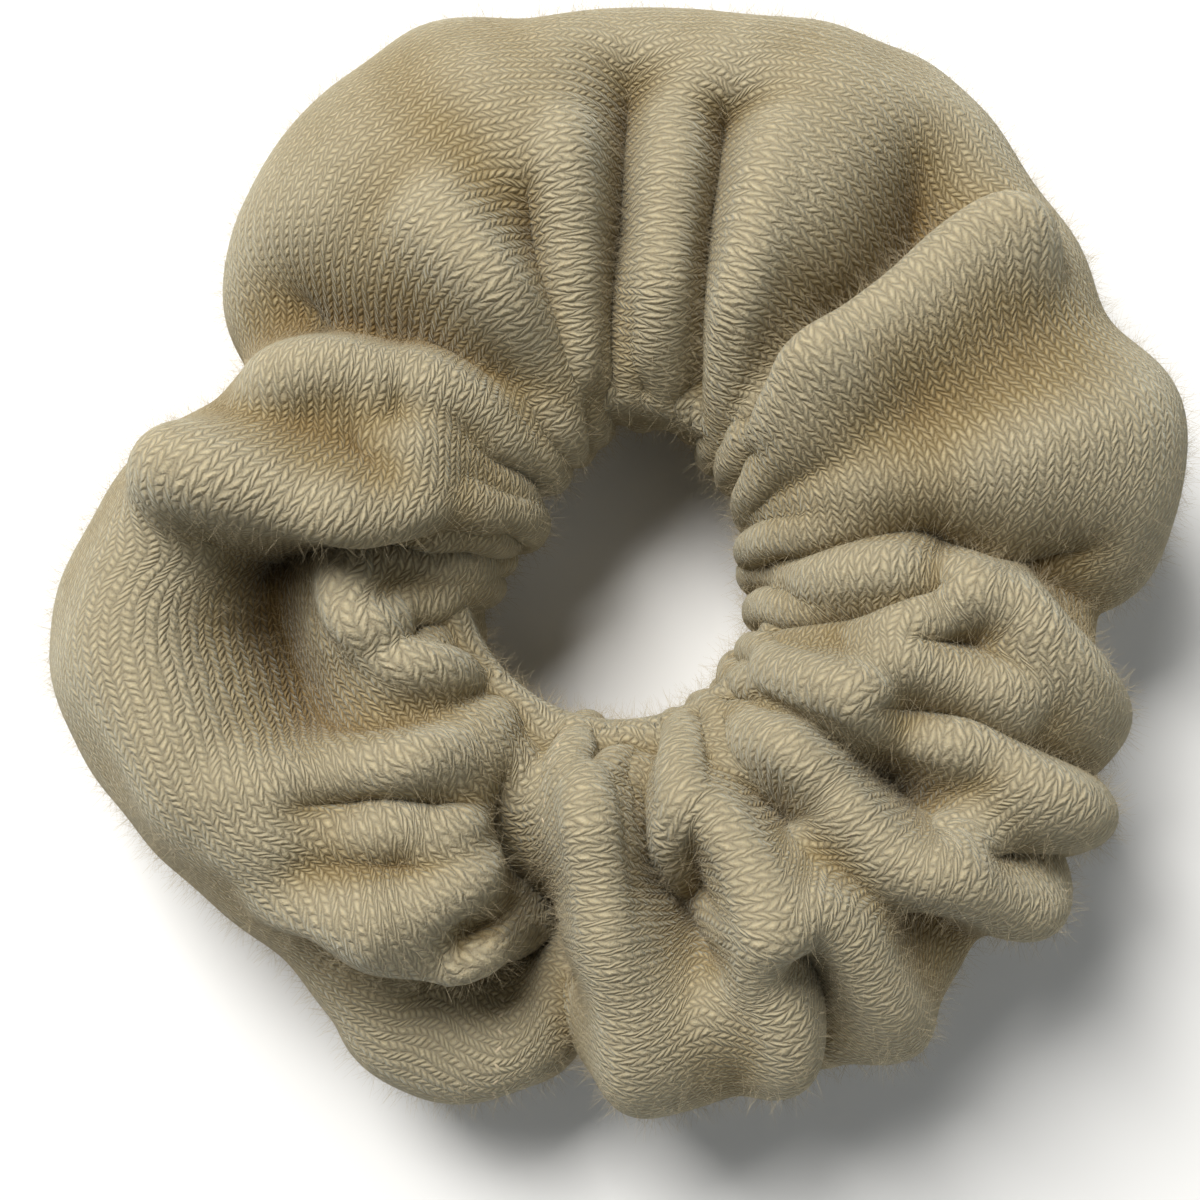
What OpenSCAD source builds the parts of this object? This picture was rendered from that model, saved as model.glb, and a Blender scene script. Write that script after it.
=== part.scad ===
// Knitted scrunchie: a tube of fine stockinette knit, gathered on a loop of flat elastic.
// The ring lies flat, its axis is Z, and Z = 0 is the surface that it lies on.
// The ring is made as two halves that part at X = 0, because it stretches along X.

/* [Ring] */
// Diameter over the gathered sleeve
outer_d = 114; // [100:1:130]
// Diameter of the opening that the hair goes through, at rest
opening_d = 28; // [24:1:32]
// Height of the sleeve as it lies
ring_h = 36; // [32:1:42]
// Length of the straight wall around the opening
opening_wall_h = 12; // [8:1:14]

/* [Knit] */
// Depth that the gathered knit takes up
gather_t = 3; // [2.5:0.1:3.5]
// Thickness of the knit, one layer
knit_t = 1.2; // [0.8:0.1:1.5]
// Height of the lengthwise seam's allowance inside the tube
allowance_h = 6; // [4:0.5:7]

/* [Elastic] */
// Width of the flat elastic
elastic_w = 6; // [4:0.5:8]
// Thickness of the flat elastic
elastic_t = 1.2; // [0.8:0.1:1.4]
// Length of the lap where the elastic's two ends are sewn together
lap_l = 12; // [9:0.5:14]
// Direction of the lap's middle, seen from above
lap_angle = 222; // [200:1:230]

/* [Sewing] */
// Thickness of the sewing thread
thread_d = 0.5; // [0.4:0.05:0.6]
// Direction of the closing seam, seen from above
closing_angle = 257; // [245:1:260]
// Stitches in the zigzag across the elastic's lap
lap_stitches = 10; // [6:2:12]

/* [Hidden] */
$fn = 96;

// Cross-section of the sleeve
hole_r = opening_d / 2;
rim_r = outer_d / 2;
inner_round = (ring_h - opening_wall_h) / 2;
outer_round = ring_h / 2 - 1;
arc_steps = 8;

// Lengthwise seam, on the inside of the tube's underside
seam_r = (hole_r + rim_r) / 2;
allowance_w = 2 * knit_t;
allowance_top = gather_t + allowance_h;
overlock_h = 3;

// Elastic: one turn and a lap, as a spiral that gains one thickness in each turn
elastic_clearance = 0.2;
elastic_r = hole_r + gather_t + thread_d + elastic_clearance;
elastic_z = (ring_h - elastic_w) / 2;
lap_half = lap_l / 2 / (elastic_r + elastic_t) * 180 / PI;
strip_start = lap_angle - lap_half;
strip_end = lap_angle + lap_half + 360;
strip_step = 3;

// Closing seam, in a groove around the tube
groove_w = 1.2;
groove_depth = 1.2;
closing_depth = groove_depth - thread_d * 1.5;

// Sides of the thread in the small zigzag stitches
thread_sides = 8;

cream = [0.80, 0.73, 0.58];
elastic_white = [0.93, 0.92, 0.89];
thread_cream = [0.74, 0.66, 0.50];

function polar(r, a) = [r * cos(a), r * sin(a)];

function arc(centre, r, from, to) =
    [for (i = [0 : arc_steps]) centre + polar(r, from + (to - from) * i / arc_steps)];

// Outline of the tube's cross-section in the plane through the ring's axis, moved inwards by an inset
function tube_outline(inset) = concat(
    arc([hole_r + inner_round, inner_round], inner_round - inset, 180, 270),
    arc([rim_r - outer_round, outer_round], outer_round - inset, 270, 360),
    arc([rim_r - outer_round, ring_h - outer_round], outer_round - inset, 0, 90),
    arc([hole_r + inner_round, ring_h - inner_round], inner_round - inset, 90, 180)
);

// Radius of the elastic's inner face at an angle along the strip
function strip_r(a) = elastic_r + elastic_t * (a - strip_start) / 360;

function strip_side(from, to, extra) = [
    for (a = [from : (to - from) / ceil((to - from) / strip_step) : to + 0.01])
        polar(strip_r(a) + extra, a)
];

function reversed(list) = [for (i = [len(list) - 1 : -1 : 0]) list[i]];

module knit_profile() {
    difference() {
        polygon(tube_outline(0));
        polygon(tube_outline(gather_t));
    }
    translate([seam_r - allowance_w / 2, gather_t / 2])
        square([allowance_w, allowance_top - gather_t / 2]);
}

module overlock_profile() {
    difference() {
        translate([seam_r - allowance_w / 2 - thread_d, allowance_top - overlock_h])
            square([allowance_w + 2 * thread_d, overlock_h + thread_d]);
        translate([seam_r - allowance_w / 2, allowance_top - overlock_h - 1])
            square([allowance_w, overlock_h + 1]);
    }
}

// Half of a ring with the cross-section given as child, from one angle through half a turn
module half_ring(from) {
    rotate([0, 0, from])
        rotate_extrude(angle = 180)
            children();
}

// A band around the tube between two insets, centred on an angle of the ring
module band_round_tube(angle, width, outer_inset, inner_inset) {
    rotate([0, 0, angle])
        translate([0, width / 2, 0])
            rotate([90, 0, 0])
                linear_extrude(width)
                    difference() {
                        polygon(tube_outline(outer_inset));
                        polygon(tube_outline(inner_inset));
                    }
}

module elastic_strip(from, to) {
    translate([0, 0, elastic_z])
        linear_extrude(elastic_w)
            polygon(concat(
                strip_side(from, to, 0),
                reversed(strip_side(from, to, elastic_t))
            ));
}

// A straight piece of thread between two points
module thread(a, b, d) {
    v = b - a;
    flat = norm([v[0], v[1]]);
    translate(a)
        rotate([0, atan2(flat, v[2]), atan2(v[1], v[0])])
            cylinder(h = norm(v), d = d, $fn = thread_sides);
}

module sleeve_left() {
    color(cream)
        difference() {
            half_ring(90) knit_profile();
            band_round_tube(closing_angle, groove_w, -1, groove_depth);
        }
}

module sleeve_right() {
    color(cream)
        half_ring(-90) knit_profile();
}

module elastic_left() {
    color(elastic_white)
        elastic_strip(450, strip_end);
}

module elastic_lap_end() {
    color(elastic_white)
        elastic_strip(strip_start, 270);
}

module elastic_right() {
    color(elastic_white)
        elastic_strip(270, 450);
}

// Where the zigzag's needle goes in: alternately near the band's lower and upper edge
function needle_point(i, depth) =
    let (a = strip_start + 2 * lap_half * (i + 0.5) / lap_stitches)
    let (xy = polar(strip_r(a) + depth, a))
    [xy[0], xy[1], elastic_z + elastic_w * (i % 2 == 0 ? 0.2 : 0.8)];

module elastic_lap_stitches() {
    outside = 2 * elastic_t + thread_d / 2;
    inside = -thread_d / 2;
    color(thread_cream)
        for (i = [0 : lap_stitches - 1]) {
            thread(needle_point(i, inside), needle_point(i, outside), thread_d * 1.2);
            if (i < lap_stitches - 1) {
                thread(needle_point(i, outside), needle_point(i + 1, outside), thread_d);
                thread(needle_point(i, inside), needle_point(i + 1, inside), thread_d);
            }
        }
}

module lengthwise_seam_left() {
    color(thread_cream)
        half_ring(90) overlock_profile();
}

module lengthwise_seam_right() {
    color(thread_cream)
        half_ring(-90) overlock_profile();
}

module closing_seam_thread() {
    color(thread_cream)
        band_round_tube(closing_angle, thread_d * 1.5, closing_depth, groove_depth);
}

sleeve_left();
sleeve_right();
elastic_left();
elastic_lap_end();
elastic_right();
elastic_lap_stitches();
lengthwise_seam_left();
lengthwise_seam_right();
closing_seam_thread();
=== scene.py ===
"""Knitted scrunchie: a gathered tube of fine stockinette on a loop of flat elastic.

Lengths are in millimetres until a mesh is made, and angles are in degrees, seen from above,
counted from +X towards +Y. The tube's length runs round the ring; its girth runs round the section.
"""
import math

import bpy
import numpy as np
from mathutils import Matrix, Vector


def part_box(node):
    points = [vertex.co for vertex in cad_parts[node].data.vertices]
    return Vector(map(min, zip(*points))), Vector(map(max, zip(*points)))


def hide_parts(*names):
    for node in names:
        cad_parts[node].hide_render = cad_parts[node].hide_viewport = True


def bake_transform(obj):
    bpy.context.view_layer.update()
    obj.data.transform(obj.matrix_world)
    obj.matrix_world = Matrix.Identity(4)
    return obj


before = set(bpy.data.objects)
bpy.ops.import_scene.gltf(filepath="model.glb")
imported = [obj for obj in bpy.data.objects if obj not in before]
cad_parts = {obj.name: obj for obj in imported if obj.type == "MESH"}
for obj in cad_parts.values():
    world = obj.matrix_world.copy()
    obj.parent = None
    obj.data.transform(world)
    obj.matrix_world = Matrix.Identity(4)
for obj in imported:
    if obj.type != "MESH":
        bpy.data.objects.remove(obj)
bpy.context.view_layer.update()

MM = 0.001
SEED = 7

# ------------------------------------------------------------------ sizes from the frame

STRIP_LOW, STRIP_HIGH = (np.array(corner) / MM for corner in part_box("elastic_right"))
ELASTIC_Z = STRIP_LOW[2]
ELASTIC_W = STRIP_HIGH[2] - STRIP_LOW[2]

ELASTIC_R = 17.7        # inner radius where the strip starts
ELASTIC_T = 1.2
ELASTIC_RIBS = 9
LAP_ANGLE = 222
LAP_L = 12
LAP_HALF = math.degrees(LAP_L / 2 / (ELASTIC_R + ELASTIC_T))
STRIP_START = LAP_ANGLE - LAP_HALF
LAP_END = LAP_ANGLE + LAP_HALF
STRIP_END = LAP_END + 360
LAP_STITCHES = 10
ALLOWANCE_H = 6
OVERLOCK_H = 3
THREAD_R = 0.25

# ------------------------------------------------------------------ knit
KNIT_T = 1.2            # thickness of one layer
WALE = 1.22             # width of a column of stitches
COURSE = 0.95           # length of a row of stitches
SEAM_ANGLE = 257        # where the closing seam crosses the ring

# Outline of the sleeve as it lies: angle, radius
RIM = [
    (0, 52), (15, 56), (28, 52.5), (38, 55.5), (47, 56.5), (60, 59), (75, 57), (87, 55), (93, 55.5),
    (112, 58), (130, 53.5), (143, 49), (151, 44.5), (160, 42), (172, 50), (190, 56.5), (210, 52),
    (222, 50), (231, 48), (241, 54.5), (252, 54.5), (268, 50.5), (285, 52.5), (298, 53.5), (304, 51),
    (312, 53), (328, 53), (340, 50), (350, 46),
]
OPENING = [
    (0, 14), (35, 14.5), (60, 16), (80, 16.3), (95, 14.5), (110, 12.5), (135, 11), (155, 10.5), (175, 11.5),
    (195, 14.5), (215, 16.3), (240, 16.3), (265, 16.3), (290, 16.3), (320, 16), (345, 14.5),
]
FLARE = [(0, 1), (60, 0), (160, 0), (200, 2), (225, 3), (255, 2), (300, 2.5), (330, 1.5)]
CROWN = [
    (0, 31), (30, 34), (60, 31), (90, 30), (150, 31), (200, 30), (240, 30), (255, 28), (300, 31), (330, 32),
]

# Folds: height of the crest or depth of the crease, half-width, lean to the left of the line, and the line
# as the camera sees it; SEEN_SCALE and SEEN_SHIFT take it to its place in plan. All were chosen.
FOLDS = [
    # top: a broad bulge, two narrow columns between creases, a broad bulge
    (3.5, 3.6, 0, [(-22, 40), (-14, 32), (-9, 26), (-5, 22), (-3, 17)]),
    (-3.5, 2.2, 0, [(-9, 43), (-7.5, 34), (-5.5, 26), (-4, 21)]),
    (2.0, 2.4, 0, [(-3.5, 50), (-4, 38), (-3, 27), (-2, 18)]),
    (-6.0, 2.4, 0, [(2, 57), (1, 40), (0.5, 29), (0.5, 16)]),
    (2.5, 3.0, 0, [(6, 53), (5.5, 40), (5, 29), (4.5, 16)]),
    (-5.5, 2.2, 0, [(12, 53), (10.5, 40), (9.5, 29), (8.5, 16)]),
    (2.5, 3.0, 0, [(16, 50), (14, 40), (12.5, 29), (11, 17)]),
    (2.0, 7.0, 0, [(26, 49), (23, 41), (18, 29), (14, 19)]),
    # hollow under the flap, and the flap's lip
    (-7.0, 6.0, 0, [(35, 44), (30, 33), (23, 27), (17, 21)]),
    (6.0, 3.2, -4, [(44, 34), (40.5, 33), (36, 31), (30, 26), (25, 22), (16, 14)]),
    (2.5, 8.0, 0, [(56, 16), (46, 16), (34, 13)]),
    (-2.0, 6.0, 0, [(46, 24), (38, 20), (26, 14)]),
    # right: small folds under the flap
    (1.8, 2.0, 0, [(16, 6), (25, 7.5)]),
    (-4.5, 2.6, 0, [(19, 4), (29, 5.5), (34, 4.5), (41, 2.5), (52, 5)]),
    (2.5, 2.4, 0, [(16, 1.5), (24, 2), (32, 3)]),
    (-4.5, 1.8, 0, [(16, -3), (24, -2.5), (30, -1), (35, 0.5)]),
    (-4.5, 3.4, 0, [(41, 1), (48, -1), (54, -2)]),
    (4.0, 3.2, 0, [(22, -4), (30, -2.5), (36, 0), (40, -2), (45, -8), (49, -12)]),
    (-2.5, 2.4, 0, [(28, -5.5), (35, -5), (39, -7)]),
    (3.0, 2.2, 0, [(22, -7), (30, -8), (36, -10), (43, -12)]),
    (-5.0, 2.2, 0, [(24, -11), (30, -12), (36, -13), (42, -16), (49, -18)]),
    # lower right: long slanting folds
    (5.0, 3.2, 0, [(13, -7), (20, -9), (26, -12), (32, -14), (38, -15), (43, -19), (51, -23)]),
    (-9.0, 3.2, 0, [(18, -13), (25, -17), (30, -21), (34, -25)]),
    (-5.0, 1.6, 0, [(35, -26.5), (47, -27)]),
    (4.5, 3.0, 0, [(12, -13), (19, -17), (24, -22), (28, -26), (34, -29), (47, -32)]),
    (-6.5, 2.6, 0, [(11, -16.5), (15, -20), (19, -24.5)]),
    (-5.5, 4.5, 0, [(29, -33), (37, -37), (43, -39)]),
    (4.5, 3.0, 0, [(8.5, -18), (11.5, -24), (15, -30), (21, -33), (26, -38), (31, -46)]),
    (-6.5, 2.0, 0, [(7, -22), (8.5, -27.5), (12, -33)]),
    (-7.5, 2.2, 0, [(16, -34), (19, -37), (21.5, -41), (23, -46), (20, -52)]),
    (4.0, 2.8, 0, [(7, -15), (6, -24), (9.5, -30), (15, -36), (18, -42), (17.5, -49)]),
    (-8.0, 2.8, 0, [(3, -17), (3.5, -26), (8, -34), (12.5, -39)]),
    # column beside the closing seam, and the seam's crease
    (4.5, 4.2, 0, [(-4, -16), (-1, -24), (-1, -33), (-0.5, -43), (2, -52)]),
    (-10.5, 2.4, 0, [(-10, -15), (-8.5, -22), (-7, -30), (-6, -38), (-5, -44), (-3, -52)]),
    # lower left, from the seam: stacked lips over a lobe that is tucked under them
    (-12.5, 6.0, 0, [(-8, -43), (-16, -44), (-27, -42)]),
    (4.0, 2.4, 2.5, [(-8, -33.5), (-13, -34), (-20, -34), (-29, -33)]),
    (-3.0, 1.8, 0, [(-8, -29.5), (-14, -31), (-23, -32)]),
    (3.5, 2.6, 1.5, [(-9, -25.5), (-16, -27.5), (-26, -29.5), (-37, -28.5)]),
    (-2.0, 1.8, 0, [(-11, -23.5), (-17, -25.5), (-25, -27), (-33, -26)]),
    (2.5, 2.4, 0, [(-11, -21), (-18, -23), (-25, -24), (-32, -24), (-39, -24)]),
    (-3.0, 2.2, 0, [(-11, -18.5), (-18, -20), (-25, -21), (-33, -21)]),
    (4.0, 2.8, 0, [(-13, -15), (-18, -16.5), (-25, -17.5), (-33, -18.5), (-40, -18)]),
    # left: a wide hollow inside a bulging rim, under a long overhanging lip
    (-7.5, 7.5, 0, [(-25, -9), (-32, -11), (-35, -3), (-42, 4)]),
    (5.0, 6.0, 0, [(-37, 11), (-44, 7), (-46, -2), (-43, -12), (-37, -23)]),
    (4.5, 2.6, 0, [(-24, 4), (-25, 0), (-22, -5), (-19, -7), (-13, -8)]),
    (-5.5, 2.4, 0, [(-18, -1), (-17, -4)]),
    (2.5, 2.2, 0, [(-13, 2), (-13.5, -3)]),
    (-8.0, 2.6, 0, [(-43, 6), (-36, 5), (-24, 4.5), (-16, 4), (-8, 5)]),
    (6.0, 3.2, 3.5, [(-7, 8), (-14, 9), (-24, 9.5), (-32, 10.5), (-39, 11), (-46, 11)]),
    (3.0, 2.6, 0, [(-9, 10), (-14, 11), (-19, 13), (-23, 16), (-25, 20)]),
    (-2.5, 3.5, 0, [(-19, 16), (-27, 17)]),
    (-4.5, 2.8, 0, [(-17, 16), (-12, 13), (-8, 12)]),
    # upper left
    (3.0, 3.2, 0.5, [(-38, 17), (-33, 21), (-27, 22.5), (-20, 21.5), (-13, 18.5), (-6, 14.5)]),
    (-5.0, 4.5, 0, [(-47, 26), (-37, 30), (-27, 28), (-16, 23.5), (-8, 19)]),
]
# Creases down the side and across the underside: depth, half-width, angle at the rim, angle at the opening
UNDER_FOLDS = [
    (5.0, 3.0, 4, 10), (4.0, 2.5, 33, 28), (5.5, 3.2, 63, 70), (3.5, 2.5, 88, 86), (5.0, 3.0, 113, 105),
    (4.5, 2.8, 138, 142), (5.5, 3.2, 163, 158), (4.0, 2.6, 186, 191), (5.0, 3.0, 216, 210),
    (4.0, 2.6, 238, 243), (5.5, 3.0, 272, 266), (4.5, 2.6, 296, 302), (5.0, 3.0, 318, 312),
    (4.0, 2.6, 341, 338),
]
# The folds' tops are nearer to the camera than the floor is, so they look larger and further up
SEEN_SCALE = (0.935, 0.94)
SEEN_SHIFT = (-0.7, -3.4)

CREST_GAIN = 1.25
CREASE_GAIN = 1.85      # the cloth's own stiffness takes part of each fold away again
TAPER = 3.5             # a fold fades in over this many half-widths
WIDE = 4                # half-width from which a fold is rounded off where its line bends
SWELL = 0.4             # height of the unevenness, and its wavelength
SWELL_WAVE = 16


def wrap_smooth(values, width):
    """Smooths a closed row of values with a Gaussian of that many samples."""
    wave = np.fft.rfftfreq(len(values))
    return np.fft.irfft(np.fft.rfft(values) * np.exp(-2 * (np.pi * wave * width) ** 2), len(values))


def outline(points, angles):
    """The outline's value at each angle, rounded off between its points."""
    at = np.array(points, float)
    fine = np.interp(np.arange(720) / 2, at[:, 0], at[:, 1], period=360)
    return np.interp(angles % 360, np.arange(720) / 2, wrap_smooth(fine, 6), period=360)


def section(angles, turns):
    """Points of the smooth tube: angle round the ring and angle round the section, -90 at the bottom."""
    rim, hole, crown, flare = (outline(line, angles) for line in (RIM, OPENING, CROWN, FLARE))
    c, s = np.cos(np.radians(turns)), np.sin(np.radians(turns))
    flat_c, flat_s = np.sign(c) * np.abs(c) ** 0.8, np.sign(s) * np.abs(s) ** 0.85
    radius = (rim + hole) / 2 + (rim - hole) / 2 * flat_c
    radius += flare * np.clip(-flat_c, 0, 1) * np.clip(flat_s, 0, 1)
    height = crown / 2 * (1 + flat_s)
    a = np.radians(angles)
    return np.stack([radius * np.cos(a), radius * np.sin(a), height], -1)


def on_tube(x, y):
    """(angle, section angle) of the point of the smooth tube's top side above a place in plan."""
    angle = math.degrees(math.atan2(y, x)) % 360
    rim, hole = outline(RIM, np.array([angle]))[0], outline(OPENING, np.array([angle]))[0]
    across = (math.hypot(x, y) - (rim + hole) / 2) / ((rim - hole) / 2)
    across = max(-1.0, min(1.0, across))
    return angle, math.degrees(math.acos(math.copysign(abs(across) ** (1 / 0.8), across)))


def spline(points, count):
    """Catmull-Rom curve through a few points."""
    p = np.array([2 * np.array(points[0]) - points[1], *points, 2 * np.array(points[-1]) - points[-2]], float)
    t = np.linspace(0, len(points) - 1 - 1e-6, count)
    i = t.astype(int)
    f = (t - i)[:, None]
    a, b, c, d = p[i], p[i + 1], p[i + 2], p[i + 3]
    bend, twist = 2 * a - 5 * b + 4 * c - d, 3 * b - a - 3 * c + d
    return 0.5 * (2 * b + (c - a) * f + bend * f ** 2 + twist * f ** 3)


def fold_line(points):
    """A fold's line on the smooth tube, carried on over the rim and down the opening if it gets there."""
    places = [on_tube(*(np.array(point) * SEEN_SCALE + SEEN_SHIFT)) for point in points]
    runs_on = []
    for end, place in ((0, places[0]), (-1, places[-1])):
        more = []
        if place[1] < 35:
            more = [(place[0], -15), (place[0], -50)]
        if place[1] > 145:
            more = [(place[0], 180), (place[0], 215)]
        places = more[::-1] + places if end == 0 else places + more
        runs_on.append(bool(more))
    fixed = [places[0]]
    for angle, turn in places[1:]:
        fixed.append((fixed[-1][0] + (angle - fixed[-1][0] + 180) % 360 - 180, turn))
    along = spline(fixed, 8 * len(fixed))
    return section(along[:, 0], along[:, 1]), runs_on


def under_line(rim_angle, hole_angle):
    """The line of a crease from the side of the smooth tube, under it, to the opening."""
    t = np.linspace(0, 1, 24)
    return section(rim_angle + (hole_angle - rim_angle) * t, 0 - 150 * t)


def near_line(verts, line):
    """Distance of each point to a line, how far along the line, and the line's direction there."""
    best = np.full(len(verts), 1e9)
    where = np.zeros(len(verts))
    side = np.zeros((len(verts), 3))
    along = np.zeros((len(verts), 3))
    for k in range(len(line) - 1):
        a, d = line[k], line[k + 1] - line[k]
        t = np.clip((verts - a) @ d / max(d @ d, 1e-9), 0, 1)
        off = verts - a - t[:, None] * d
        dist = np.einsum("ij,ij->i", off, off)
        better = dist < best
        best = np.where(better, dist, best)
        where = np.where(better, (k + t) / (len(line) - 1), where)
        side[better] = off[better]
        along[better] = d / max(np.linalg.norm(d), 1e-9)
    return np.sqrt(best), where, along


def soft_band(verts, line, width):
    """1 on a line and less beside it, with no kinks where the line bends."""
    step = np.linalg.norm(np.diff(line, axis=0), axis=1)
    middle = (line[1:] + line[:-1]) / 2
    total = np.zeros(len(verts))
    for place, length in zip(middle, step):
        off = verts - place
        total += length * np.exp(-np.einsum("ij,ij->i", off, off) / width ** 2)
    return total / (width * math.sqrt(math.pi))


def outward(grid):
    """The directions that point out of the tube."""
    du = np.roll(grid, -1, 0) - np.roll(grid, 1, 0)
    dv = np.roll(grid, -1, 1) - np.roll(grid, 1, 1)
    n = np.cross(du, dv)
    n /= np.linalg.norm(n, axis=-1, keepdims=True)
    rim = grid.shape[1] // 4
    return n * np.sign(np.sum(n[:, rim] * grid[:, rim] * [1, 1, 0]))


def fold_push(verts, normal, turn, fold):
    """How far one fold moves the points of the smooth tube near it."""
    height, half, lean, points = fold
    line, runs_on = fold_line(points)
    length = np.linalg.norm(np.diff(line, axis=0), axis=1).sum()
    d, where, along = near_line(verts, line)
    radius = np.hypot(verts[:, 0], verts[:, 1])
    width = half * np.clip(0.55 + 0.45 * (radius - 14) / 20, 0.5, 1.15)
    at_rim = np.clip(0.3 + 0.7 * (turn - 10) / 45, 0.3, 1)
    if height > 0:
        gain = CREST_GAIN * np.clip((radius - 17) / 9, 0, 1) * at_rim
        shape = np.exp(-(d / width) ** 2.4)
    else:
        gain = CREASE_GAIN * np.clip(0.15 + 0.85 * (radius - 17) / 13, 0.15, 1) * at_rim
        shape = np.exp(-(d / width) ** 1.15)
    fade = np.ones_like(d)
    for goes_on, from_end in zip(runs_on, (where, 1 - where)):
        if not goes_on:
            ramp = np.clip(from_end * length / min(TAPER * half, 0.5 * length), 0, 1)
            fade *= np.sin(np.pi / 2 * ramp)
    if half >= WIDE:
        amount = height * gain * soft_band(verts, line, width)
    else:
        amount = height * gain * fade * shape * np.clip((195 - turn) / 40, 0.4, 1)
    push = normal * amount[:, None]
    if lean:
        tip = fade * lean * np.exp(-(d / width) ** 2) * np.clip((radius - 16) / 8, 0, 1)
        push += np.cross(normal, along) * tip[:, None]
    return push


def sculpt(fine, around):
    """The smooth tube with the folds raised and pressed in, and a slight unevenness all over."""
    angles = SEAM_ANGLE + 360 * np.arange(fine) / fine
    turns = -90 + 360 * np.arange(around) / around
    aa, tt = np.meshgrid(angles, turns, indexing="ij")
    base = section(aa, tt)
    normal = outward(base)
    verts, out, turn = base.reshape(-1, 3), normal.reshape(-1, 3), tt.reshape(-1)
    push = np.zeros_like(verts)
    for fold in FOLDS:
        line = fold_line(fold[3])[0][::4]
        reach = np.linalg.norm(verts[:, None, :] - line[None], axis=-1).min(1) < 3.5 * fold[1] + 6
        push[reach] += fold_push(verts[reach], out[reach], turn[reach], fold)
    for depth, half, rim_angle, hole_angle in UNDER_FOLDS:
        d, where, _ = near_line(verts, under_line(rim_angle, hole_angle))
        fade = np.sin(np.pi * np.clip(where, 0.02, 0.98)) ** 0.6
        push -= out * (depth * np.exp(-(d / half) ** 1.4) * fade)[:, None]
    rng = np.random.default_rng(SEED)
    swell = low_pass(rng.normal(size=(fine, around, 1)), CLOTH_L / fine, CLOTH_G / around, SWELL_WAVE)
    return base + push.reshape(base.shape) + normal * swell / swell.std() * SWELL


def evenly(grid, count, rows):
    """The closed grid resampled along its first axis so that its columns are the same length apart."""
    steps = np.linalg.norm(np.roll(grid, -1, 0) - grid, axis=-1)[:, rows].mean(1)
    at = np.concatenate([[0], np.cumsum(steps)])
    want = np.arange(count) * at[-1] / count
    pos = np.interp(want, at, np.arange(len(at)))
    i = pos.astype(int)
    f = (pos - i)[:, None, None]
    closed = np.concatenate([grid, grid[:1]])
    return closed[i] * (1 - f) + closed[i + 1] * f


def pull_edges(x, rest, axis, shrink, stretch):
    """Moves the ends of each edge along one axis of the grid towards its rest length."""
    for odd in (0, 1):
        if odd:
            x = np.roll(x, -1, axis)
        r = np.roll(rest, -odd, axis)
        pick = [slice(None), slice(None)]
        pick[axis] = slice(0, None, 2)
        a = x[tuple(pick)]
        pick2 = list(pick)
        pick2[axis] = slice(1, None, 2)
        b = x[tuple(pick2)]
        d = b - a
        l = np.sqrt(np.einsum("ijk,ijk->ij", d, d)) + 1e-9
        c = l - r[tuple(pick)]
        k = np.where(c < 0, shrink, stretch)
        m = (0.5 * k * c / l)[..., None] * d
        x[tuple(pick)] = a + m
        x[tuple(pick2)] = b - m
        if odd:
            x = np.roll(x, 1, axis)
    return x


def space_evenly(x, times):
    """Slides the grid's points along the cloth until they are evenly spaced in each row and column."""
    for _ in range(times):
        move = np.zeros_like(x)
        for axis in (0, 1):
            after, before = np.roll(x, -1, axis), np.roll(x, 1, axis)
            along = after - before
            along /= np.linalg.norm(along, axis=-1, keepdims=True)
            middle = (after + before) / 2 - x
            move += 0.5 * np.sum(middle * along, -1, keepdims=True) * along
        x = x + move
    return x


def waves(x, step_u, step_v):
    """Squared frequency of each term of the grid's Fourier transform."""
    fu = np.fft.fftfreq(x.shape[0], step_u)[:, None, None]
    fv = np.fft.rfftfreq(x.shape[1], step_v)[None, :, None]
    return fu ** 2 + fv ** 2


def low_pass(x, step_u, step_v, wave):
    """The grid without its detail finer than a wavelength."""
    keep = np.exp(-waves(x, step_u, step_v) * wave ** 2)
    return np.fft.irfft2(np.fft.rfft2(x, axes=(0, 1)) * keep, s=x.shape[:2], axes=(0, 1))


def stiffen(x, step_u, step_v, wave):
    """Straightens bends that are tighter than a wavelength, as a thick knit does."""
    keep = 1 / (1 + (waves(x, step_u, step_v) * wave ** 2) ** 2)
    return np.fft.irfft2(np.fft.rfft2(x, axes=(0, 1)) * keep, s=x.shape[:2], axes=(0, 1))


def close_pairs(x, gap, skip_u, skip_v):
    """Pairs of grid points nearer than gap in space, though not on the cloth."""
    nu, nv = x.shape[:2]
    p = x.reshape(-1, 3)
    cell = np.floor(p / gap).astype(np.int64)
    cell -= cell.min(0) - 1
    size = cell.max(0) + 2
    key = (cell[:, 0] * size[1] + cell[:, 1]) * size[2] + cell[:, 2]
    order = np.argsort(key, kind="stable")
    sorted_key = key[order]
    first, second = [], []
    for dx in (-1, 0, 1):
        for dy in (-1, 0, 1):
            for dz in (-1, 0, 1):
                other = key + (dx * size[1] + dy) * size[2] + dz
                lo = np.searchsorted(sorted_key, other, "left")
                hi = np.searchsorted(sorted_key, other, "right")
                most = int((hi - lo).max())
                for k in range(most):
                    has = np.nonzero(lo + k < hi)[0]
                    j = order[lo[has] + k]
                    keep = has < j
                    first.append(has[keep])
                    second.append(j[keep])
    a, b = np.concatenate(first), np.concatenate(second)
    du = np.abs(a // nv - b // nv)
    dv = np.abs(a % nv - b % nv)
    du = np.minimum(du, nu - du)
    dv = np.minimum(dv, nv - dv)
    far = (du > skip_u) | (dv > skip_v)
    a, b = a[far], b[far]
    d = p[a] - p[b]
    near = np.einsum("ij,ij->i", d, d) < gap * gap
    return a[near], b[near]


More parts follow.
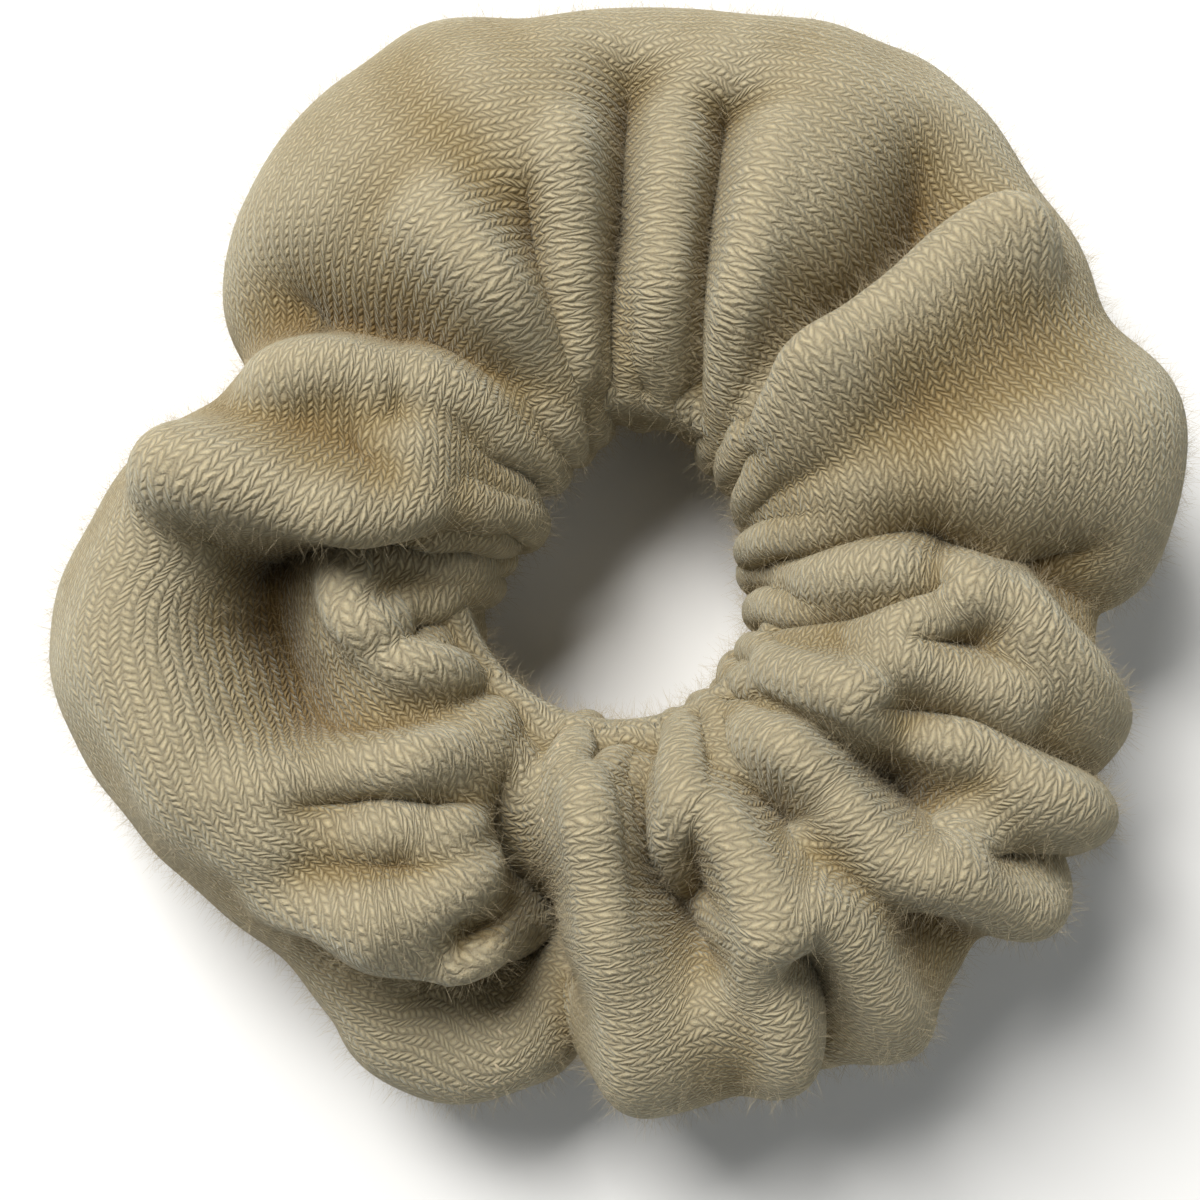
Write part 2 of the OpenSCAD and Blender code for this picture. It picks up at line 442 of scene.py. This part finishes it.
def push_apart(x, a, b, gap, strength):
    """Moves the points of each pair apart until they are a gap away from each other."""
    p = x.reshape(-1, 3)
    d = p[a] - p[b]
    l = np.sqrt(np.einsum("ij,ij->i", d, d)) + 1e-9
    hit = l < gap
    a, b, d, l = a[hit], b[hit], d[hit], l[hit]
    if not len(a):
        return x
    m = (0.5 * strength * (gap - l) / l)[:, None] * d
    n = len(p)
    count = np.bincount(a, minlength=n) + np.bincount(b, minlength=n)
    out = p.copy()
    for k in range(3):
        out[:, k] += (np.bincount(a, m[:, k], n) - np.bincount(b, m[:, k], n)) / np.sqrt(np.maximum(count, 1))
    return out.reshape(x.shape)


# ------------------------------------------------------------------ cloth
CLOTH_U, CLOTH_V = 400, 110     # columns round the ring and points round the section
CLOTH_L = 380                   # length the knit strip is taken to have; the mesh is 117 to 441 mm round
CLOTH_G = 110                   # width the strip is taken to have; the mesh's girth is 97 to 140 mm
PULL = 0.5                      # how firmly the cloth keeps the sculpted shape
PULL_WAVE = 3                   # wavelength below which it doesn't keep that shape
STIFF = 2.0                     # wavelength below which the knit doesn't bend
LAYER_GAP = 2.2                 # distance between the middles of two layers that touch


def off_elastic(x):
    """Moves the cloth out of the space that the elastic takes up."""
    radius = np.hypot(x[..., 0], x[..., 1])
    inner, outer = 16.3, 22.3
    low, high = ELASTIC_Z - 1.2, ELASTIC_Z + ELASTIC_W + 1.2
    ways = np.stack([radius - inner, outer - radius, x[..., 2] - low, high - x[..., 2]])
    inside = (ways > 0).all(0)
    way = ways.argmin(0)
    shift = np.where(way == 0, inner - radius, np.where(way == 1, outer - radius, 0))
    x[..., :2] *= (1 + np.where(inside, shift, 0) / radius)[..., None]
    lift = np.where(way == 2, low - x[..., 2], np.where(way == 3, high - x[..., 2], 0))
    x[..., 2] += np.where(inside, lift, 0)
    return x


def drape(steps=120):
    """Lets the sculpted cloth give way where it meets itself, the floor and the elastic."""
    target = evenly(sculpt(800, CLOTH_V), CLOTH_U, slice(15, 62))
    step_u, step_v = CLOTH_L / CLOTH_U, CLOTH_G / CLOTH_V
    x = target.copy()
    rest_u = np.linalg.norm(np.roll(x, -1, 0) - x, axis=-1)
    rest_v = np.linalg.norm(np.roll(x, -1, 1) - x, axis=-1)
    for k in range(steps):
        for _ in range(2):
            x = pull_edges(x, rest_u, 0, 0.35, 0.9)
            x = pull_edges(x, rest_v, 1, 0.6, 0.9)
        x = stiffen(x, step_u, step_v, STIFF)
        x += PULL * low_pass(target - x, step_u, step_v, PULL_WAVE)
        if k % 8 == 0:
            pairs = close_pairs(x, LAYER_GAP + 0.6, 4, 4)
        x = push_apart(x, *pairs, LAYER_GAP, 0.8)
        x[..., 2] = np.maximum(x[..., 2], KNIT_T + 0.1)
        x = off_elastic(x)
    return off_elastic(space_evenly(x, 200))


# ------------------------------------------------------------------ meshes
def tube_mesh(name, grid):
    """A closed tube of quads from a grid, with its length and girth in millimetres as the UV map."""
    nu, nv = grid.shape[:2]
    ids = np.arange(nu * nv).reshape(nu, nv)
    quads = np.stack([ids, np.roll(ids, -1, 0), np.roll(np.roll(ids, -1, 0), -1, 1), np.roll(ids, -1, 1)], -1)
    mesh = bpy.data.meshes.new(name)
    mesh.from_pydata((grid.reshape(-1, 3) * MM).tolist(), [], quads.reshape(-1, 4).tolist())
    i, j = np.meshgrid(np.arange(nu), np.arange(nv), indexing="ij")
    corners = np.stack([np.stack([i, j], -1), np.stack([i + 1, j], -1),
                        np.stack([i + 1, j + 1], -1), np.stack([i, j + 1], -1)], 2).astype(float)
    corners *= [CLOTH_L / nu, CLOTH_G / nv]
    layer = mesh.uv_layers.new(name="cloth_mm")
    layer.data.foreach_set("uv", corners.reshape(-1).astype(np.float32))
    mesh.shade_smooth()
    mesh.update()
    return mesh


def add_painted_light_mask(mesh, grid):
    """Gives the mesh a value that is above 0.5 in creases and below 0.5 on crests, for painted shade in the
    knit's creases and a painted highlight on its crests.
    """
    below = 0
    for wave, depth in ((26, 7), (11, 3.5)):
        around = low_pass(grid, CLOTH_L / CLOTH_U, CLOTH_G / CLOTH_V, wave)
        below += np.sum((around - grid) * outward(grid), -1) / depth
    layer = mesh.attributes.new("painted_light_mask", "FLOAT", "POINT")
    layer.data.foreach_set("value", np.clip(0.5 + below, 0, 1).reshape(-1).astype(np.float32))


def add_object(name, data, material):
    """An object with one material, linked into the scene."""
    obj = bpy.data.objects.new(name, data)
    bpy.context.scene.collection.objects.link(obj)
    data.materials.append(material)
    return obj


def swept_mesh(name, path, side, up, profile, closed):
    """A mesh that carries a profile (across, up) along a path; side and up are the frame at each point."""
    count, around = len(path), len(profile)
    profile = np.array(profile)
    grid = path[:, None] + side[:, None] * profile[None, :, :1] + up[:, None] * profile[None, :, 1:]
    ids = np.arange(count * around).reshape(count, around)
    after, beside = np.roll(ids, -1, 0), np.roll(ids, -1, 1)
    quads = np.stack([ids, after, np.roll(after, -1, 1), beside], -1)
    faces = quads[:count if closed else count - 1].reshape(-1, 4).tolist()
    if not closed:
        faces += [ids[0].tolist()[::-1], ids[-1].tolist()]
    mesh = bpy.data.meshes.new(name)
    mesh.from_pydata((grid.reshape(-1, 3) * MM).tolist(), [], faces)
    mesh.shade_smooth()
    mesh.update()
    return mesh


def thread_mesh(name, path, radius, closed=False, sides=6):
    """A round thread along a path."""
    ahead = np.roll(path, -1, 0) - np.roll(path, 1, 0)
    if not closed:
        ahead[0], ahead[-1] = path[1] - path[0], path[-1] - path[-2]
    ahead /= np.linalg.norm(ahead, axis=1, keepdims=True)
    side = np.zeros_like(path)
    last = np.cross(ahead[0], [0.31, 0.52, 0.8])
    for k, way in enumerate(ahead):
        last = last - way * (last @ way)
        last /= np.linalg.norm(last)
        side[k] = last
    turns = 2 * np.pi * np.arange(sides) / sides
    ring = np.stack([radius * np.cos(turns), radius * np.sin(turns)], -1)
    return swept_mesh(name, path, side, np.cross(ahead, side), ring, closed)


def strip_radius(angle):
    """Radius of the elastic's inner face; it gains one thickness in each turn."""
    return ELASTIC_R + ELASTIC_T * (angle - STRIP_START) / 360


def elastic_mesh():
    """Flat braided elastic: one turn and a lap, with ribs along it."""
    angles = np.arange(STRIP_START, STRIP_END + 0.5, 1.0)
    a = np.radians(angles)
    out = np.stack([np.cos(a), np.sin(a), 0 * a], -1)
    path = out * (strip_radius(angles) + ELASTIC_T / 2)[:, None]
    path[:, 2] = ELASTIC_Z + ELASTIC_W / 2
    up = np.tile([0.0, 0.0, 1.0], (len(path), 1))
    half_w, half_t = ELASTIC_W / 2, ELASTIC_T / 2
    across = np.linspace(-half_w + 0.25, half_w - 0.25, 12 * ELASTIC_RIBS + 1)
    rib = 0.12 * (np.abs(np.sin(np.pi * ELASTIC_RIBS * (across + half_w) / ELASTIC_W)) - 1)
    face = list(zip(half_t + rib, across))
    profile = face + [(0, half_w)] + [(-t, w) for t, w in face[::-1]] + [(0, -half_w)]
    return swept_mesh("elastic_band", path, out, up, profile, False)


def lap_point(i, depth):
    """Where the needle goes through the lap: by turns near the lower and the upper edge."""
    angle = STRIP_START + (LAP_END - STRIP_START) * (i + 0.5) / LAP_STITCHES
    r = strip_radius(angle) + depth
    z = ELASTIC_Z + ELASTIC_W * (0.2 if i % 2 == 0 else 0.8)
    return np.array([r * math.cos(math.radians(angle)), r * math.sin(math.radians(angle)), z])


def lap_stitch_path():
    """The zigzag outside the lap, and back by the zigzag inside it."""
    outer, inner = 2 * ELASTIC_T + 0.1, -0.1
    points = []
    for i in range(LAP_STITCHES):
        points += [lap_point(i, outer - 0.5), lap_point(i, outer)]
        if i < LAP_STITCHES - 1:
            points.append((lap_point(i, outer) + lap_point(i + 1, outer)) / 2 * [1.006, 1.006, 1])
        points += [lap_point(i, outer)] if i < LAP_STITCHES - 1 else []
        points += [lap_point(i + 1, outer)] if i < LAP_STITCHES - 1 else []
    for i in reversed(range(LAP_STITCHES)):
        points += [lap_point(i, inner + 0.4), lap_point(i, inner)]
        if i:
            points.append((lap_point(i, inner) + lap_point(i - 1, inner)) / 2 * [0.994, 0.994, 1])
    return spline([np.array(p) for p in points], 8 * len(points))


def under_seam(cloth):
    """The lengthwise seam's line on the inside of the underside, with its sideways and upward directions."""
    line = cloth[:, 0]
    ahead = np.roll(line, -1, 0) - np.roll(line, 1, 0)
    ahead /= np.linalg.norm(ahead, axis=1, keepdims=True)
    side = np.cross(ahead, [0, 0, 1.0])
    side /= np.linalg.norm(side, axis=1, keepdims=True)
    up = np.cross(side, ahead)
    up *= np.sign(up[:, 2:])
    turn = 2 * np.pi * np.arange(len(line)) / len(line)
    sway = 0.5 * np.sin(61 * turn) + 0.35 * np.sin(37 * turn + 1)
    return line, side, up, sway


def allowance_mesh(cloth):
    """The two raw edges of the knit that stand up inside the tube, gathered with it."""
    line, side, up, sway = under_seam(cloth)
    lean = side * np.cos(0.5 * sway)[:, None] + up * np.sin(0.5 * sway)[:, None] * 0.4
    w, h, dip = KNIT_T, ALLOWANCE_H, 0.25
    profile = [(-w, 0.2), (-w, h / 2), (-w, h - 0.4), (-w + 0.3, h), (-dip, h), (0, h - dip), (dip, h),
               (w - 0.3, h), (w, h - 0.4), (w, h / 2), (w, 0.2)]
    path = line + side * sway[:, None] * 0.7
    return swept_mesh("seam_allowance", path, lean, up, profile, True)


def overlock_path(cloth):
    """A thread that winds over the allowance's edge, all the way round the ring."""
    line, side, up, sway = under_seam(cloth)
    loops = 128
    per_loop = 10
    t = np.arange(loops * per_loop) / (loops * per_loop)
    at = t * len(line)
    i = at.astype(int) % len(line)
    f = (at % 1)[:, None]
    j = (i + 1) % len(line)
    swayed = line + 0.7 * side * sway[:, None]
    base = swayed[i] * (1 - f) + swayed[j] * f
    phase = 2 * np.pi * loops * t
    across = (KNIT_T + 0.25) * np.clip(1.4 * np.cos(phase), -1, 1)
    middle, reach = ALLOWANCE_H - OVERLOCK_H / 2 + 0.1, OVERLOCK_H / 2 + 0.25
    height = middle + reach * np.clip(1.4 * np.sin(phase), -1, 1)
    return base + side[i] * across[:, None] + up[i] * height[:, None]


def closing_path(cloth, normal):
    """Small slanting stitches round the tube that close it, which dive in and out of the cloth."""
    rows = np.arange(6 * CLOTH_V) / 6
    row, part = rows.astype(int), rows % 1
    line = cloth[0, row] * (1 - part)[:, None] + cloth[0, (row + 1) % CLOTH_V] * part[:, None]
    out = normal[0, row] * (1 - part)[:, None] + normal[0, (row + 1) % CLOTH_V] * part[:, None]
    side = cloth[1, row] - cloth[-1, row]
    side /= np.linalg.norm(side, axis=1, keepdims=True)
    phase = 2 * np.pi * 45 * rows / CLOTH_V
    across, rise = 0.55 * np.sin(phase), KNIT_T - 0.3 + 0.35 * np.cos(2 * phase)
    path = line + side * across[:, None] + out * rise[:, None]
    return np.stack([wrap_smooth(path[:, k], 1.5) for k in range(3)], -1)


def across_stretch(obj, *nodes, slot):
    """A piece that runs all round the ring: bakes its placement into its mesh and hides the CAD nodes that it
    stands in for.
    """
    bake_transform(obj)
    if nodes:
        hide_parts(*nodes)


# ------------------------------------------------------------------ camera, light and floor
CAMERA_TILT = 84        # elevation of the view
CAMERA_FAR = 200        # from the middle of the ring
LENS = 60


def add_camera():
    """The camera, nearly overhead, as in the photograph."""
    data = bpy.data.cameras.new("camera")
    data.lens = LENS
    data.clip_start = 0.01
    cam = bpy.data.objects.new("camera", data)
    bpy.context.scene.collection.objects.link(cam)
    aim = Vector((-0.0018, -0.003, 0.016))
    tilt = math.radians(CAMERA_TILT)
    cam.location = aim + Vector((0, -math.cos(tilt), math.sin(tilt))) * CAMERA_FAR * MM
    cam.rotation_euler = (aim - cam.location).to_track_quat("-Z", "Y").to_euler()
    bpy.context.scene.camera = cam


def shader(name):
    """A material with its node tree and its Principled shader."""
    material = bpy.data.materials.new(name)
    material.use_nodes = True
    return material, material.node_tree, material.node_tree.nodes["Principled BSDF"]


def calc(tree, operation, *values):
    """One Math node; its inputs are sockets or numbers."""
    node = tree.nodes.new("ShaderNodeMath")
    node.operation = operation
    for socket, value in zip(node.inputs, values):
        if isinstance(value, (int, float)):
            socket.default_value = value
        else:
            tree.links.new(value, socket)
    return node.outputs[0]


def noise(tree, place, scale, detail=2.0):
    """A noise texture's value at a place given in metres, with scale in repeats per metre."""
    node = tree.nodes.new("ShaderNodeTexNoise")
    node.inputs["Scale"].default_value = scale
    node.inputs["Detail"].default_value = detail
    tree.links.new(place, node.inputs["Vector"])
    return node.outputs["Fac"]


def blend_colour(tree, factor, first, second, mode="MIX"):
    """One colour Mix node; its inputs are sockets or values."""
    node = tree.nodes.new("ShaderNodeMix")
    node.data_type = "RGBA"
    node.blend_type = mode
    for socket, value in ((node.inputs["Factor"], factor), (node.inputs[6], first), (node.inputs[7], second)):
        if isinstance(value, (int, float, tuple)):
            socket.default_value = value
        else:
            tree.links.new(value, socket)
    return node.outputs[2]


def knit_material():
    """Stockinette: columns of V-shaped stitches in a soft, slightly felted cream yarn, with painted shade in
    the gaps between the stitches and in the creases and a painted highlight on the crests.
    """
    material, tree, bsdf = shader("knit")
    uv = tree.nodes.new("ShaderNodeUVMap")
    uv.uv_map = "cloth_mm"
    split = tree.nodes.new("ShaderNodeSeparateXYZ")
    tree.links.new(uv.outputs[0], split.inputs[0])
    place = tree.nodes.new("ShaderNodeTexCoord").outputs["Object"]
    wander = calc(tree, "SUBTRACT", noise(tree, place, 350), 0.5)
    wander2 = calc(tree, "SUBTRACT", noise(tree, place, 600), 0.5)
    wale = calc(tree, "DIVIDE", split.outputs["Y"], WALE)
    wale = calc(tree, "ADD", wale, calc(tree, "MULTIPLY", wander2, 0.5))
    # each column has as many stitches as its own way round the ring is long
    turn = calc(tree, "MULTIPLY_ADD", calc(tree, "FLOOR", wale), WALE / CLOTH_G * 2 * math.pi, -math.pi / 2)
    east, north = calc(tree, "COSINE", turn), calc(tree, "SINE", turn)
    gather = calc(tree, "MULTIPLY_ADD", north, 0.43, calc(tree, "MULTIPLY_ADD", east, -0.19, 1.33))
    way = calc(tree, "MULTIPLY", gather, calc(tree, "MULTIPLY_ADD", east, 40 * math.pi, 68 * math.pi))
    row = calc(tree, "MULTIPLY", calc(tree, "DIVIDE", split.outputs["X"], CLOTH_L * COURSE), way)
    row = calc(tree, "ADD", row, calc(tree, "MULTIPLY", wander, 1.0))
    from_middle = calc(tree, "MULTIPLY", calc(tree, "ABSOLUTE", calc(
        tree, "SUBTRACT", calc(tree, "FRACT", wale), 0.5)), 2.0)
    slanted = calc(tree, "ADD", row, calc(tree, "MULTIPLY", from_middle, 1.1))
    phase = calc(tree, "FRACT", slanted)
    across = calc(tree, "POWER", calc(tree, "SINE", calc(tree, "MULTIPLY", phase, math.pi)), 0.9)
    along = calc(tree, "POWER", calc(tree, "SINE", calc(tree, "MULTIPLY", from_middle, math.pi)), 0.9)
    leg = calc(tree, "MULTIPLY", across, along)
    # each leg is a little different
    cell = tree.nodes.new("ShaderNodeCombineXYZ")
    tree.links.new(calc(tree, "FLOOR", slanted), cell.inputs[0])
    tree.links.new(calc(tree, "FLOOR", calc(tree, "MULTIPLY", wale, 2.0)), cell.inputs[1])
    lucky = tree.nodes.new("ShaderNodeTexWhiteNoise")
    lucky.noise_dimensions = "2D"
    tree.links.new(cell.outputs[0], lucky.inputs["Vector"])
    uneven = calc(tree, "MULTIPLY_ADD", lucky.outputs["Value"], 0.5, 0.7)
    fibre = noise(tree, place, 3800, 3.0)
    patch = noise(tree, place, 90)
    height = calc(tree, "MULTIPLY", leg, uneven)
    rough_height = calc(tree, "MULTIPLY_ADD", fibre, 0.8, height)
    bump = tree.nodes.new("ShaderNodeBump")
    bump.inputs["Strength"].default_value = 0.65
    bump.inputs["Distance"].default_value = 0.0004
    tree.links.new(rough_height, bump.inputs["Height"])
    tree.links.new(bump.outputs[0], bsdf.inputs["Normal"])
    ground = blend_colour(tree, patch, (0.37, 0.294, 0.158, 1), (0.462, 0.38, 0.226, 1))
    # painted shade: the gaps between the stitch legs are coloured dark brown, where the legs shade each other
    yarn_with_painted_light = blend_colour(tree, calc(tree, "MULTIPLY_ADD", height, 0.75, calc(
        tree, "MULTIPLY", fibre, 0.45)), (0.11, 0.072, 0.022, 1), ground)
    # painted shade: the creases are darkened with a warm brown, by a mask of how far each point lies below
    # the smoothed cloth
    painted_light_mask = tree.nodes.new("ShaderNodeAttribute")
    painted_light_mask.attribute_name = "painted_light_mask"
    painted_crease_shade = calc(tree, "MULTIPLY_ADD", painted_light_mask.outputs["Fac"], 1.3, -0.6)
    painted_crease_shade = calc(tree, "MINIMUM", calc(tree, "MAXIMUM", painted_crease_shade, 0.0), 1.0)
    # painted highlight: the crests are lightened towards a pale grey by the same mask
    high = calc(tree, "MINIMUM", calc(tree, "MAXIMUM", calc(
        tree, "MULTIPLY_ADD", painted_light_mask.outputs["Fac"], -2.2, 1.0), 0.0), 1.0)
    yarn_with_painted_light = blend_colour(tree, painted_crease_shade, yarn_with_painted_light, (0.54, 0.4, 0.19, 1), "MULTIPLY")
    yarn_with_painted_light = blend_colour(tree, calc(tree, "MULTIPLY", high, 0.2), yarn_with_painted_light, (0.7, 0.7, 0.59, 1))
    tree.links.new(yarn_with_painted_light, bsdf.inputs["Base Color"])
    bsdf.inputs["Roughness"].default_value = 0.95
    bsdf.inputs["Specular IOR Level"].default_value = 0.1
    bsdf.inputs["Sheen Weight"].default_value = 0.3
    bsdf.inputs["Sheen Roughness"].default_value = 0.4
    bsdf.inputs["Sheen Tint"].default_value = (0.88, 0.92, 0.82, 1)
    bsdf.inputs["Subsurface Weight"].default_value = 0.2
    bsdf.inputs["Subsurface Radius"].default_value = (1.0, 0.72, 0.42)
    bsdf.inputs["Subsurface Scale"].default_value = 0.0012
    return material


def plain_knit_material():
    """The raw edge of the knit, where no stitches show."""
    material, tree, bsdf = shader("knit_edge")
    place = tree.nodes.new("ShaderNodeTexCoord").outputs["Object"]
    fibre = noise(tree, place, 3000, 3.0)
    colour = blend_colour(tree, fibre, (0.40, 0.33, 0.22, 1), (0.70, 0.62, 0.46, 1))
    tree.links.new(colour, bsdf.inputs["Base Color"])
    bump = tree.nodes.new("ShaderNodeBump")
    bump.inputs["Strength"].default_value = 0.8
    bump.inputs["Distance"].default_value = 0.0003
    tree.links.new(fibre, bump.inputs["Height"])
    tree.links.new(bump.outputs[0], bsdf.inputs["Normal"])
    bsdf.inputs["Roughness"].default_value = 0.95
    return material


def thread_material():
    """Sewing thread in the knit's colour, a little darker and smoother."""
    material, tree, bsdf = shader("thread")
    place = tree.nodes.new("ShaderNodeTexCoord").outputs["Object"]
    fibre = noise(tree, place, 5000)
    colour = blend_colour(tree, fibre, (0.42, 0.34, 0.22, 1), (0.56, 0.47, 0.32, 1))
    tree.links.new(colour, bsdf.inputs["Base Color"])
    bsdf.inputs["Roughness"].default_value = 0.7
    return material


def elastic_material():
    """Matt white braid: slanting yarns that cross over the ribs."""
    material, tree, bsdf = shader("elastic")
    place = tree.nodes.new("ShaderNodeTexCoord").outputs["Object"]
    split = tree.nodes.new("ShaderNodeSeparateXYZ")
    tree.links.new(place, split.inputs[0])
    angle = calc(tree, "ARCTAN2", split.outputs["Y"], split.outputs["X"])
    along = calc(tree, "MULTIPLY", angle, 140.0)
    up = calc(tree, "MULTIPLY", split.outputs["Z"], 9000.0)
    first = calc(tree, "SINE", calc(tree, "ADD", along, up))
    second = calc(tree, "SINE", calc(tree, "SUBTRACT", along, up))
    braid = calc(tree, "MAXIMUM", first, second)
    bump = tree.nodes.new("ShaderNodeBump")
    bump.inputs["Strength"].default_value = 0.6
    bump.inputs["Distance"].default_value = 0.0002
    tree.links.new(braid, bump.inputs["Height"])
    tree.links.new(bump.outputs[0], bsdf.inputs["Normal"])
    bsdf.inputs["Base Color"].default_value = (0.84, 0.83, 0.79, 1)
    bsdf.inputs["Roughness"].default_value = 0.75
    return material


def fuzz_material():
    """Loose fibres in the knit's colour."""
    material, tree, bsdf = shader("fuzz")
    bsdf.inputs["Base Color"].default_value = (0.46, 0.385, 0.25, 1)
    bsdf.inputs["Roughness"].default_value = 0.8
    return material


def add_fuzz(obj, count, length, seed):
    """Loose fibres that stand out of the knit."""
    obj.data.materials.append(fuzz_material())
    obj.modifiers.new("fuzz", "PARTICLE_SYSTEM")
    system = obj.particle_systems[-1]
    system.seed = seed
    p = system.settings
    p.type = "HAIR"
    p.count = count
    p.use_advanced_hair = True
    p.hair_length = length
    p.hair_step = 4
    p.normal_factor = length * 0.25
    p.factor_random = length * 0.45
    p.use_modifier_stack = True
    p.material = 2
    p.child_type = "NONE"
    p.root_radius = 1
    p.tip_radius = 0.3
    p.radius_scale = 0.00002
    p.display_step = 3
    p.render_step = 3


def area_light(name, place, size, power, colour):
    """A square soft light that points at the ring."""
    data = bpy.data.lights.new(name, "AREA")
    data.size = size
    data.energy = power
    data.color = colour
    obj = bpy.data.objects.new(name, data)
    obj.location = place
    obj.rotation_euler = (Vector((0, 0, 0.015)) - Vector(place)).to_track_quat("-Z", "Y").to_euler()
    bpy.context.scene.collection.objects.link(obj)


add_camera()
area_light("window", (-0.27, 0.39, 0.65), 0.4, 10.2, (1, 0.98, 0.94))
area_light("fill", (0.5, -0.4, 0.5), 0.7, 1.2, (0.95, 1, 0.98))
world = bpy.data.worlds.new("studio")
world.use_nodes = True
world.node_tree.nodes["Background"].inputs["Color"].default_value = (0.95, 0.97, 1, 1)
world.node_tree.nodes["Background"].inputs["Strength"].default_value = 0.1
bpy.context.scene.world = world
floor_mesh = bpy.data.meshes.new("floor")
floor_mesh.from_pydata([(-2, -2, 0), (2, -2, 0), (2, 2, 0), (-2, 2, 0)], [], [(0, 1, 2, 3)])
white = bpy.data.materials.new("floor_white")
white.use_nodes = True
white.node_tree.nodes["Principled BSDF"].inputs["Base Color"].default_value = (0.85, 0.85, 0.85, 1)
white.node_tree.nodes["Principled BSDF"].inputs["Roughness"].default_value = 0.9
floor = add_object("floor", floor_mesh, white)

bpy.context.scene.view_settings.view_transform = "Standard"
cloth = drape()
sleeve = add_object("knit_sleeve", tube_mesh("knit_sleeve", cloth), knit_material())
# painted light: a mask for painted shade in the creases and a painted highlight on the crests
add_painted_light_mask(sleeve.data, cloth)
sub = sleeve.modifiers.new("smooth", "SUBSURF")
sub.levels = sub.render_levels = 1
thick = sleeve.modifiers.new("thickness", "SOLIDIFY")
thick.thickness = KNIT_T * MM
thick.offset = 1
add_fuzz(sleeve, 110000, 0.00085, SEED)
across_stretch(sleeve, "sleeve_left", "sleeve_right", slot="knit")

elastic = add_object("elastic_band", elastic_mesh(), elastic_material())
across_stretch(elastic, "elastic_left", "elastic_lap_end", "elastic_right", slot="elastic")
thread = thread_material()
lap_mesh = thread_mesh("elastic_lap_zigzag", lap_stitch_path(), THREAD_R * 0.8)
lap = add_object("elastic_lap_zigzag", lap_mesh, thread)
across_stretch(lap, "elastic_lap_stitches", slot="thread")
allowance = add_object("seam_allowance", allowance_mesh(cloth), plain_knit_material())
across_stretch(allowance, slot="knit")
overlock_mesh = thread_mesh("overlock_thread", overlock_path(cloth), 0.2, True)
overlock = add_object("overlock_thread", overlock_mesh, thread)
across_stretch(overlock, "lengthwise_seam_left", "lengthwise_seam_right", slot="thread")
closing_mesh = thread_mesh("closing_stitches", closing_path(cloth, outward(cloth)), 0.22, True)
closing = add_object("closing_stitches", closing_mesh, thread)
across_stretch(closing, "closing_seam_thread", slot="thread")
